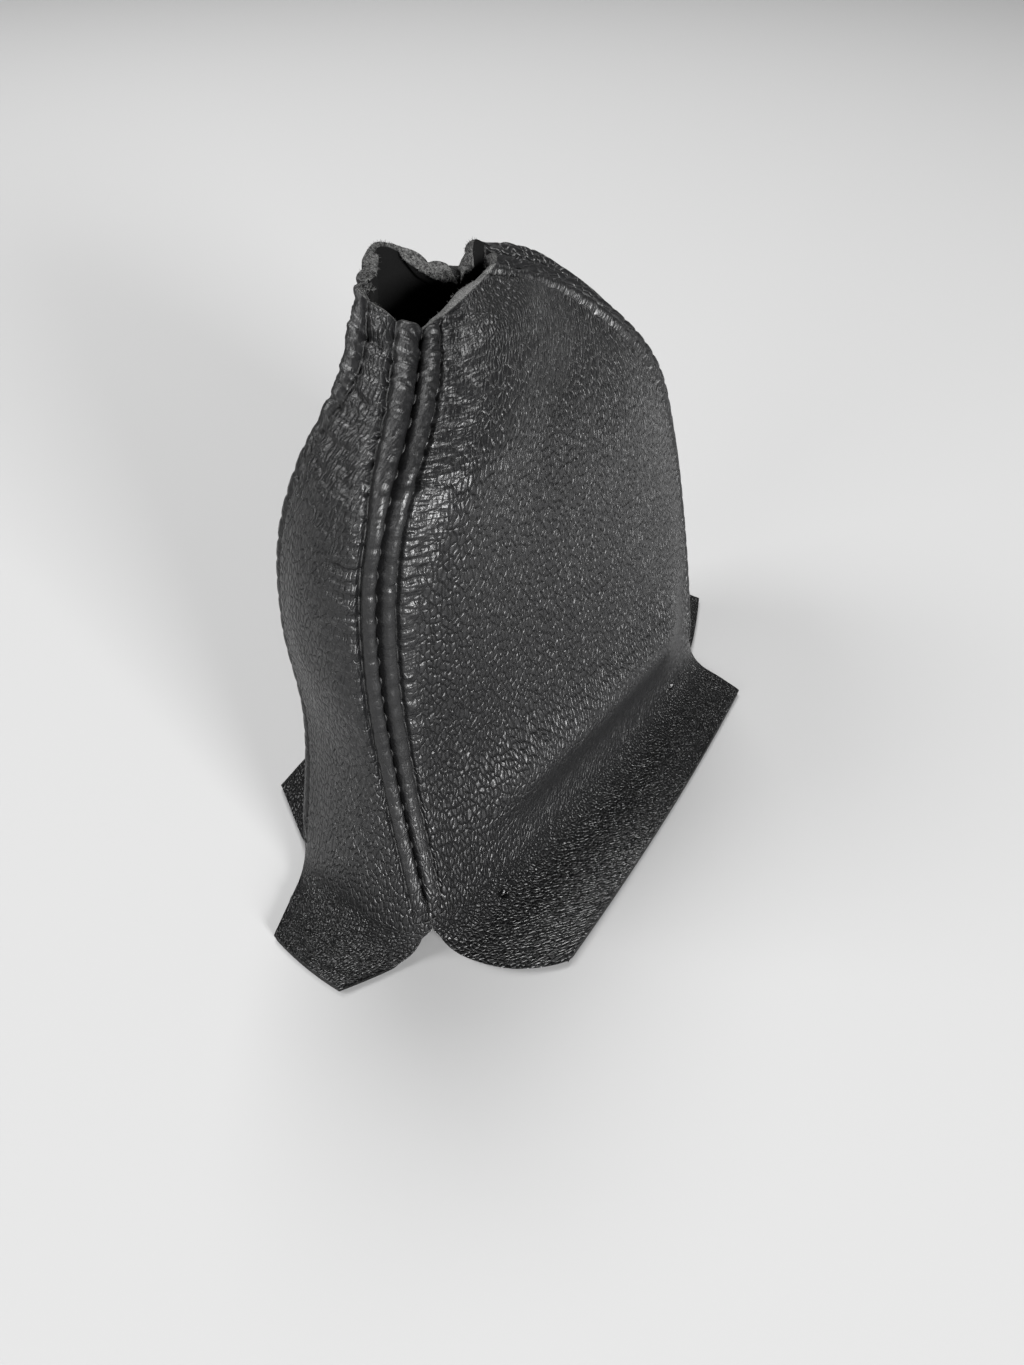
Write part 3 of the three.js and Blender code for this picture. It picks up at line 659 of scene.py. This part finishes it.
# All rows of a shell with both ends rounded: those of the face, those of the back, and the pair at the raw
# rim from which the fibres stand.
def shellRows(k, p, shell):
    panel, along = panels[k], p.dist[-1]
    (fine, fineLength), (broad, broadLength) = cutEdge["rough"]
    rough = fine * flatNoise(along / fineLength, along * 0 + 3, 90 + k, 3)
    rough = rough + broad * flatNoise(along / broadLength, along * 0, 95 + k, 1)
    wobble = cutEdge["wobble"] * panel["rawRim"] * rough
    top = roundedRows(shell, -1, -2, cutEdge["rimReach"], wobble, panel["cutSlope"])
    bottom = roundedRows(shell, 0, 1, cutEdge["reach"], 0 * along, 0)[::-1]
    faceRows = np.concatenate([[face for face, back in bottom], shell.face, [face for face, back in top]])
    backRows = np.concatenate([[back for face, back in bottom], shell.back, [back for face, back in top]])
    return faceRows, backRows, top[0]


# A lofted ring, closed at both ends: each row goes along the face and comes back along the back.
def ringMesh(faceRows, backRows):
    rows, faceCount, backCount = len(faceRows), faceRows.shape[1], backRows.shape[1]
    ring = faceCount + backCount
    points = np.concatenate([faceRows, backRows[:, ::-1]], 1).reshape(-1, 3)
    r, c = np.meshgrid(np.arange(rows - 1), np.arange(ring), indexing="ij")
    a, b = (r * ring + c).ravel(), (r * ring + (c + 1) % ring).ravel()
    quads = np.stack([a, b, b + ring, a + ring], 1)
    faceIndex, backIndex = np.arange(faceCount), ring - 1 - np.arange(backCount)
    last = (rows - 1) * ring
    caps = [endCap(faceIndex, backIndex, False), endCap(last + faceIndex, last + backIndex, True)]
    return points, quads, np.concatenate(caps)


# Repeats the first and the last row for the rounded ends.
def padded(values):
    pad = len(cutEdge["depths"])
    return np.concatenate([np.repeat(values[:1], pad, 0), values, np.repeat(values[-1:], pad, 0)])


mapping = {"stretch": (1.15, 0.45), "backOffset": 400.0}


# The leather's map in mm: the distance along the row, and the run up it times the first stretch on the flange
# and the second above it, where the grain is drawn out upwards. The back's map lies apart from the face's.
def leatherMap(plan, columns):
    pad, steps = len(cutEdge["depths"]), np.array(cutEdge["mapSteps"])[:, None]
    face = np.stack([padded(plan.dist), padded(plan.run * np.where(plan.run < 0, *mapping["stretch"]))], -1)
    face[:pad, :, 1] -= steps[::-1]
    face[-pad:, :, 1] += steps
    back = face[:, columns][:, ::-1] + np.array([0, mapping["backOffset"]])
    return np.concatenate([face, back], 1).reshape(-1, 2)


# The material of each quad: 0 the face, 1 the flesh side with the turned edges, 2 the cut ends.
def ringSides(rows, ring, faceCount):
    side, pad = np.zeros((rows - 1, ring)), len(cutEdge["depths"])
    side[:, faceCount - 1:] = 1
    side[-pad:], side[:pad] = 2, 2
    return side.ravel()


smoothZones = {"strip": (-0.3, 0.8), "aboveHem": (0, 0.1), "at": 12, "width": 18,
               "near": (14, 40), "far": (4, 16)}


# What the leather's look depends on at each point of the ring: how pale a cut is, how gathered the leather
# is, the run up the nearer seam, and the strips and zones where the grain is pulled smooth.
def leatherAttributes(k, p, rows, ring):
    faceCount, zones, pale = p.dist.shape[1], smoothZones, panels[k]["paleCut"]
    (strongA, wideA), (strongB, wideB) = panels[k]["gathers"]
    values = {key: np.zeros((rows, ring)) for key in ("paleCut", "gathered", "seamRun", "strip")}
    values["paleCut"][-len(cutEdge["depths"]):] = pale
    gatheredA = strongA * gatherShare(p.dA, p.level, wideA)
    gatheredB = strongB * gatherShare(p.dB, p.level, wideB)
    values["gathered"][:, :faceCount] = padded(np.maximum(gatheredA, gatheredB))
    values["seamRun"][:, :faceCount] = padded(np.where(p.dA < p.dB, p.crossA, p.crossB))
    first, last = (relief["puffWidth"] + away for away in zones["strip"])
    strip = (1 - smoothStep(np.minimum(p.dA, p.dB), first, last)) * smoothStep(p.level, *zones["aboveHem"])
    if panels[k]["name"] == "right_panel":
        strip = np.maximum(strip, bell(p.run, zones["at"], zones["width"]) * betweenSeams(zones, p.dA, p.dB))
    values["strip"][:, :faceCount] = padded(strip)
    return values


# A panel as a closed shell with torn fibres on its raw rim. The fibres are as pale as the rim itself.
def makePanel(k, materials):
    panel, plan = panels[k], panelPlan(k)
    shell = panelShell(k, plan)
    faceRows, backRows, (rimFace, rimBack) = shellRows(k, plan, shell)
    points, quads, tris = ringMesh(faceRows, backRows)
    rows, ring = len(faceRows), faceRows.shape[1] + backRows.shape[1]
    lastBack = lineAt(plan.dist[-1], shell.backDist[-1], rimBack)
    upwards = shell.plain[-1] - shell.plain[-2]
    tufts, tuftQuads, tuftTris = rimFibres(rimFace, lastBack, upwards, 30 + k, panel["rawRim"])
    cutFaces = len(tuftQuads) + len(tris) + len(tuftTris)
    side = np.append(ringSides(rows, ring, faceRows.shape[1]), np.full(cutFaces, 2))
    uv = np.concatenate([leatherMap(plan, shell.columns), np.zeros((len(tufts), 2))])
    attributes = leatherAttributes(k, plan, rows, ring)
    for key, values in attributes.items():
        onTufts = panel["paleCut"] if key == "paleCut" else 0
        attributes[key] = np.append(values, np.full(len(tufts), onTufts))
    quads = np.concatenate([quads, tuftQuads + len(points)])
    tris = np.concatenate([tris, tuftTris + len(points)])
    points = np.concatenate([points, tufts])
    name = panel["name"].replace("_panel", "_leather")
    piece = buildMesh(name, points, quads, tris, materials, uv, attributes, side)
    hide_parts(panel["name"])
    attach(piece, "root")
    print(panel["name"], "triangles", 2 * len(quads) + len(tris))


# A point over the leather beside seam k: d mm from it (below 0 on the panel before) and lift mm over the
# face.
def besideSeam(k, run, d, lift):
    side = d < 0
    out = np.zeros((len(run), 3))
    ups = np.zeros((len(run), 3))
    for here, panel in ((~side, k), (side, (k + 3) % 4)):
        if not here.any():
            continue
        level = levelAtRun(k, run[here])
        length, shareAt = rowRuler(panel, level)
        slantA, slantB = rowSlants(panel, level, length)
        dist = np.where(d[here] < 0, length + d[here] * slantB, d[here] * slantA)
        u = shareAt(dist[:, None])
        nudge = 1e-3
        before, after = np.maximum(u - nudge, 0), np.minimum(u + nudge, 1)
        below, above = np.maximum(level - nudge, 0), np.minimum(level + nudge, 1)
        across = bodyPoint(panel, after, level) - bodyPoint(panel, before, level)
        up = unit(np.cross(across, bodyPoint(panel, u, above) - bodyPoint(panel, u, below)))[:, 0]
        out[here] = bodyPoint(panel, u, level)[:, 0] + up * lift[here][:, None]
        ups[here] = up
    return out, ups


# Threads, in mm. A stitch starts and ends a little way from its holes. bar is for the stitches across a
# seam's lower end, and join for the lock stitches. ends is the share of the radius left at a stitch's ends,
# and a power.
threadShape = {
    "sides": 8, "rings": 8, "radius": 0.24, "dip": 0.75, "top": 0.06, "ends": (0.45, 0.35), "fromHole": 0.35,
    "inGroove": 0.75, "endRoom": 1.0, "bars": 4, "barRun": 2.4, "barArch": 0.7, "barLift": 0.12,
    "barGap": 0.06,
    "joinRadius": 0.2, "joinEnds": (0.4, 0.5), "joinHalf": 1.1, "joinLift": -0.85,
    "joinDip": 0.5, "joinRoom": 2.0,
}


# Whole stitch pitches that fit on seam k below the room kept free at its upper end.
def pitchesOn(k, room):
    total = float(seamRunTo(k, np.array([1.0]))[0])
    return int((total - room) / relief["pitch"])


def stitchRadius(s, radius, ends):
    share, power = ends
    return radius * (share + (1 - share) * np.sin(np.pi * np.clip(s, 0.02, 0.98)) ** power)


def threadMesh(k, run, offset, lift, radius):
    points, ups = besideSeam(k, run.ravel(), offset.ravel(), lift.ravel())
    shape, sides = run.shape + (3,), threadShape["sides"]
    return tubes(points.reshape(shape), ups.reshape(shape), np.broadcast_to(radius, run.shape), sides)


# The stitches of both rows beside seam k: each dives into a hole at both ends. Others cross its lower end.
def makeTopstitch(k, material):
    t, pitch = threadShape, relief["pitch"]
    holes = np.arange(1, pitchesOn(k, t["endRoom"]) + 1) * pitch
    s = np.linspace(0, 1, t["rings"])
    stitchRun = holes[:-1, None] + t["fromHole"] + (pitch - 2 * t["fromHole"]) * s
    arch = t["top"] - t["dip"] * (2 * np.abs(s - 0.5)) ** 4
    runs, lifts, offsets = [], [], []
    for sign in (-1, 1):
        runs.append(stitchRun)
        lifts.append(np.broadcast_to(arch - relief["groove"] * t["inGroove"], stitchRun.shape))
        offsets.append(np.full(stitchRun.shape, sign * relief["puffWidth"]))
    crossing = np.linspace(-1, 1, t["bars"] + 1)
    for a, b in zip(crossing[:-1], crossing[1:]):
        share = a + (b - a) * (t["barGap"] + (1 - 2 * t["barGap"]) * s)
        runs.append(np.full((1, len(s)), t["barRun"]))
        lifts.append((arch * t["barArch"] + t["barLift"])[None])
        offsets.append((relief["puffWidth"] * share)[None])
    run, lift, offset = (np.concatenate(v) for v in (runs, lifts, offsets))
    mesh = threadMesh(k, run, offset, lift, stitchRadius(s, t["radius"], t["ends"]))
    piece = buildMesh(seams[k]["name"] + "_topstitching", *mesh, [material])
    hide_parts(seams[k]["name"] + "_topstitch_thread")
    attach(piece, "root")


# The lock stitches that show deep in the joint between two panels.
def makeJoining(k, material):
    t, pitch = threadShape, relief["pitch"]
    centres = np.arange(2, pitchesOn(k, t["joinRoom"]) + 1) * pitch + pitch / 2
    s = np.linspace(0, 1, t["rings"])
    run = centres[:, None] - t["joinHalf"] + 2 * t["joinHalf"] * s
    lift = np.broadcast_to(t["joinLift"] - t["joinDip"] * (2 * np.abs(s - 0.5)) ** 3, run.shape)
    mesh = threadMesh(k, run, 0 * run, lift, stitchRadius(s, t["joinRadius"], t["joinEnds"]))
    piece = buildMesh(seams[k]["name"] + "_joining_stitches", *mesh, [material])
    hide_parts(seams[k]["name"] + "_joining_thread")
    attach(piece, "root")


def newMaterial(name):
    material = bpy.data.materials.new(name)
    material.use_nodes = True
    tree = material.node_tree
    shader = next(n for n in tree.nodes if n.type == "BSDF_PRINCIPLED")
    return material, tree, shader


# Sets the inputs of a node, by a link where the value is another node's output.
def setInputs(tree, node, inputs):
    for key, value in inputs.items():
        if hasattr(value, "is_output"):
            tree.links.new(value, node.inputs[key])
        else:
            node.inputs[key].default_value = value


def addNode(tree, kind, inputs=None, **settings):
    node = tree.nodes.new("ShaderNode" + kind)
    for key, value in settings.items():
        setattr(node, key, value)
    setInputs(tree, node, inputs or {})
    return node


def mathNode(tree, operation, a, b):
    return addNode(tree, "Math", {0: a, 1: b}, operation=operation).outputs[0]


def remap(tree, value, low, high, newLow, newHigh):
    limits = {"Value": value, "From Min": low, "From Max": high, "To Min": newLow, "To Max": newHigh}
    return addNode(tree, "MapRange", limits).outputs[0]


# A colour from the first to the second, by the factor.
def mixColours(tree, factor, first, second):
    return addNode(tree, "Mix", {"Factor": factor, 6: first, 7: second}, data_type="RGBA").outputs[2]


def addBump(tree, shader, height, strength, distance):
    bump = addNode(tree, "Bump", {"Height": height, "Strength": strength, "Distance": distance})
    setInputs(tree, shader, {"Normal": bump.outputs[0]})


def noise(tree, place, scale, detail, output="Fac"):
    return addNode(tree, "TexNoise", {"Vector": place, "Scale": scale, "Detail": detail}).outputs[output]


def attribute(tree, name):
    return addNode(tree, "Attribute", attribute_name=name).outputs["Fac"]


def objectPlace(tree):
    return addNode(tree, "TexCoord").outputs["Object"]


def times(tree, a, b):
    return mathNode(tree, "MULTIPLY", a, b)


def setSurface(tree, shader, colour, roughness, specular):
    setInputs(tree, shader, {"Base Color": colour, "Roughness": roughness, "Specular IOR Level": specular})


# Sizes and heights in mm, except scales, which are per mm. roughness is in the creases and on the pebbles.
# crease is painted shade: a darker colour for the grain's creases between the pebbles, where shade falls.
leatherLook = {
    "colour": (0.005, 0.005, 0.0054, 1), "crease": (0.002, 0.002, 0.0022, 1), "roughness": (0.5, 0.37),
    "specular": 0.45, "warpScale": 0.5, "warp": 1.6, "pebble": 1.1, "pebbleHeight": 0.42, "fine": 0.55,
    "fineHeight": 0.02, "creaseWidth": 0.32, "poreScale": 3.5, "poreHeight": 0.015, "rollScale": 0.6,
    "rollHeight": 0.5, "lineScale": 0.9, "lineSideways": 0.33, "gatherHeight": 0.45, "calmed": 0.15,
    "onStrip": 0.3,
}


# Domes from a cell pattern on the panel's map: 0 in the creases, rounded up to 1 on the pebbles.
def cellPattern(tree, place, size, width):
    cells = addNode(tree, "TexVoronoi", {"Vector": place, "Scale": 1 / size, "Randomness": 0.92},
                    voronoi_dimensions="2D", feature="DISTANCE_TO_EDGE").outputs["Distance"]
    rise = remap(tree, cells, 0.0, width, 0.0, 1.0)
    return times(tree, rise, mathNode(tree, "SUBTRACT", 2.0, rise))


def weighted(tree, terms):
    total = None
    for value, weight in terms:
        part = times(tree, value, weight)
        total = part if total is None else mathNode(tree, "ADD", total, part)
    return total


# Black leather: pebbles from a warped cell pattern on the panel's own map, finer cells and pores over them,
# and lines stretched across the seam where it is gathered. Its creases are darkened as painted shade.
def leatherMaterial():
    look = leatherLook
    material, tree, shader = newMaterial("blackLeather")
    uv = addNode(tree, "UVMap", uv_map="leatherMap").outputs[0]
    mm = addNode(tree, "VectorMath", {0: uv, 1: (1000, 1000, 1000)}, operation="MULTIPLY").outputs[0]
    bend = noise(tree, mm, look["warpScale"], 2.0, "Color")
    centred = addNode(tree, "VectorMath", {0: bend, 1: (-0.5, -0.5, -0.5)}, operation="ADD").outputs[0]
    place = addNode(tree, "VectorMath", {0: centred, 1: (look["warp"], look["warp"], 0), 2: mm},
                    operation="MULTIPLY_ADD").outputs[0]
    pebbles = cellPattern(tree, place, look["pebble"], look["creaseWidth"])
    finer = cellPattern(tree, place, look["fine"], look["creaseWidth"])
    pores = noise(tree, mm, look["poreScale"], 2.0)
    rolling = noise(tree, mm, look["rollScale"], 1.0)
    sideways = addNode(tree, "SeparateXYZ", {0: place}).outputs[0]
    stretched = {0: times(tree, sideways, look["lineSideways"]), 1: attribute(tree, "seamRun")}
    crossed = addNode(tree, "CombineXYZ", stretched).outputs[0]
    lines, gathered = noise(tree, crossed, look["lineScale"], 1.5), attribute(tree, "gathered")
    offStrip = remap(tree, attribute(tree, "strip"), 0.0, 1.0, 1.0, look["onStrip"])
    gathers = times(tree, times(tree, lines, gathered), offStrip)
    calmed = times(tree, remap(tree, gathered, 0.0, 1.0, 1.0, look["calmed"]), offStrip)
    height = weighted(tree, [(times(tree, pebbles, calmed), look["pebbleHeight"]), (finer, look["fineHeight"]),
                             (pores, look["poreHeight"]), (times(tree, rolling, offStrip), look["rollHeight"]),
                             (gathers, look["gatherHeight"])])
    addBump(tree, shader, height, 1.0, 0.001)
    # Painted shade: the colour darkens from the pebbles' tops into the creases between them.
    shade = mixColours(tree, pebbles, look["crease"], look["colour"])
    setSurface(tree, shader, shade, remap(tree, pebbles, 0.0, 1.0, *look["roughness"]), look["specular"])
    return material


fleshLook = {"dark": (0.0015, 0.0015, 0.0015, 1), "light": (0.004, 0.004, 0.004, 1), "roughness": 0.95,
             "specular": 0.12, "napScale": 2200.0, "napHeight": 0.0002}


# The flesh side: dull and very dark, with a soft nap.
def fleshMaterial():
    look = fleshLook
    material, tree, shader = newMaterial("fleshSide")
    nap = noise(tree, objectPlace(tree), look["napScale"], 3.0)
    addBump(tree, shader, nap, 0.6, look["napHeight"])
    shade = mixColours(tree, nap, look["dark"], look["light"])
    setSurface(tree, shader, shade, look["roughness"], look["specular"])
    return material


cutLook = {"flange": (0.02, 0.02, 0.02, 1), "dark": (0.025, 0.025, 0.025, 1), "light": (0.17, 0.17, 0.166, 1),
           "clean": (0.15, 0.15, 0.148, 1), "cleanFrom": 0.85, "cleanShare": 0.75, "roughness": 0.85,
           "specular": 0.2, "fibreScale": 1500.0, "tuftScale": 3000.0, "tuftHeight": 0.6}


# The cut edges: grey fibres, paler at the neck than round the flanges, and even where the cut is clean.
def cutMaterial():
    look = cutLook
    material, tree, shader = newMaterial("cutEdge")
    place, pale = objectPlace(tree), attribute(tree, "paleCut")
    strands = noise(tree, place, look["fibreScale"], 4.0)
    tufts = addNode(tree, "TexVoronoi", {"Vector": place, "Scale": look["tuftScale"]})
    height = weighted(tree, [(strands, 1.0), (tufts.outputs["Distance"], look["tuftHeight"])])
    addBump(tree, shader, height, 1.0, 0.001)
    torn = mixColours(tree, remap(tree, strands, 0.35, 0.65, 0.0, 1.0), look["dark"], look["light"])
    cleanness = remap(tree, pale, look["cleanFrom"], 1.0, 0.0, look["cleanShare"])
    shade = mixColours(tree, pale, look["flange"], mixColours(tree, cleanness, torn, look["clean"]))
    setSurface(tree, shader, shade, look["roughness"], look["specular"])
    return material


threadLook = {"colour": (0.006, 0.006, 0.006, 1), "roughness": 0.6,
              "twistScale": 900.0, "twistHeight": 0.00008}


def threadMaterial():
    look = threadLook
    material, tree, shader = newMaterial("blackThread")
    wave = {"Vector": objectPlace(tree), "Scale": look["twistScale"], "Distortion": 1.5}
    twist = addNode(tree, "TexWave", wave)
    addBump(tree, shader, twist.outputs["Fac"], 0.5, look["twistHeight"])
    setInputs(tree, shader, {"Base Color": look["colour"], "Roughness": look["roughness"]})
    return material


camera = {"place": (-0.1892, -0.1075, 0.220), "forward": (0.6436, 0.3716, -0.6691), "lens": 26.69,
          "sensor": 36, "nearest": 0.01}
lampAim = (-0.01, 0.0, 0.06)
lamps = [
    {"name": "keySoftbox", "place": (-0.86, -1.75, 0.42), "size": (0.6, 0.6), "power": 96.0},
    {"name": "leftSoftbox", "place": (-1.95, 0.16, 0.55), "size": (0.7, 0.7), "power": 12.0},
    {"name": "backLeftSoftbox", "place": (-0.9, 1.1, 1.5), "size": (0.9, 0.9), "power": 24.0},
    {"name": "topSoftbox", "place": (0.7, 0.6, 1.85), "size": (0.9, 0.9), "power": 36.0},
]
backgroundLight = {"lighting": 0.04, "shown": 0.14, "floorGlow": 0.06}


def makeCamera():
    data = bpy.data.cameras.new("photoCamera")
    data.lens, data.sensor_width, data.clip_start = camera["lens"], camera["sensor"], camera["nearest"]
    rig = bpy.data.objects.new("photoCamera", data)
    rig.location = camera["place"]
    rig.rotation_euler = Vector(camera["forward"]).to_track_quat("-Z", "Y").to_euler()
    bpy.context.scene.collection.objects.link(rig)
    bpy.context.scene.camera = rig


# 1 for the rays that show a surface to the camera, also mirrored or through something clear, and 0 for the
# others.
def shownToCamera(tree):
    rays = addNode(tree, "LightPath")
    seen = mathNode(tree, "MAXIMUM", rays.outputs["Is Camera Ray"], rays.outputs["Is Glossy Ray"])
    return mathNode(tree, "MAXIMUM", seen, rays.outputs["Is Transmission Ray"])


def makeLamps():
    for lamp in lamps:
        data = bpy.data.lights.new(lamp["name"], "AREA")
        data.shape, data.energy = "RECTANGLE", lamp["power"]
        data.size, data.size_y = lamp["size"]
        rig = bpy.data.objects.new(lamp["name"], data)
        rig.location = lamp["place"]
        aim = Vector(lampAim) - Vector(lamp["place"])
        rig.rotation_euler = aim.to_track_quat("-Z", "Y").to_euler()
        bpy.context.scene.collection.objects.link(rig)


# A plain backdrop: dim as a light, and paler where the camera sees it.
def makeBackdrop():
    world = bpy.data.worlds.new("studio")
    world.use_nodes = True
    tree = world.node_tree
    back = next(n for n in tree.nodes if n.type == "BACKGROUND")
    dim, shown = backgroundLight["lighting"], backgroundLight["shown"]
    strength = remap(tree, shownToCamera(tree), 0.0, 1.0, dim, shown)
    setInputs(tree, back, {"Strength": strength, "Color": (1, 1, 1, 1)})
    bpy.context.scene.world = world


floorLook = {"colour": (0.42, 0.42, 0.42, 1), "roughness": 0.9, "specular": 0.1, "half": 4.0, "drop": -0.0003}


# The floor is pale, with a little light of its own for the camera, so that it is near white and keeps the
# shadow.
def makeFloor():
    material, tree, shader = newMaterial("paleFloor")
    setSurface(tree, shader, floorLook["colour"], floorLook["roughness"], floorLook["specular"])
    glow = times(tree, shownToCamera(tree), backgroundLight["floorGlow"])
    setInputs(tree, shader, {"Emission Color": (1, 1, 1, 1), "Emission Strength": glow})
    half, drop = floorLook["half"], floorLook["drop"]
    corners = np.array([[-half, -half, drop], [half, -half, drop], [half, half, drop], [-half, half, drop]])
    floor = buildMesh("floor", corners * 1000, np.array([[0, 1, 2, 3]]), np.zeros((0, 3), int), [material])


scene = bpy.context.scene
scene.view_settings.view_transform = "Standard"
makeCamera()
makeLamps()
makeBackdrop()
makeFloor()
print("camera, lamps and floor made")
sides, thread = [leatherMaterial(), fleshMaterial(), cutMaterial()], threadMaterial()
for k in range(4):
    makePanel(k, sides)
print("leather panels made")
for k in range(4):
    makeTopstitch(k, thread)
    makeJoining(k, thread)
print("stitching made")
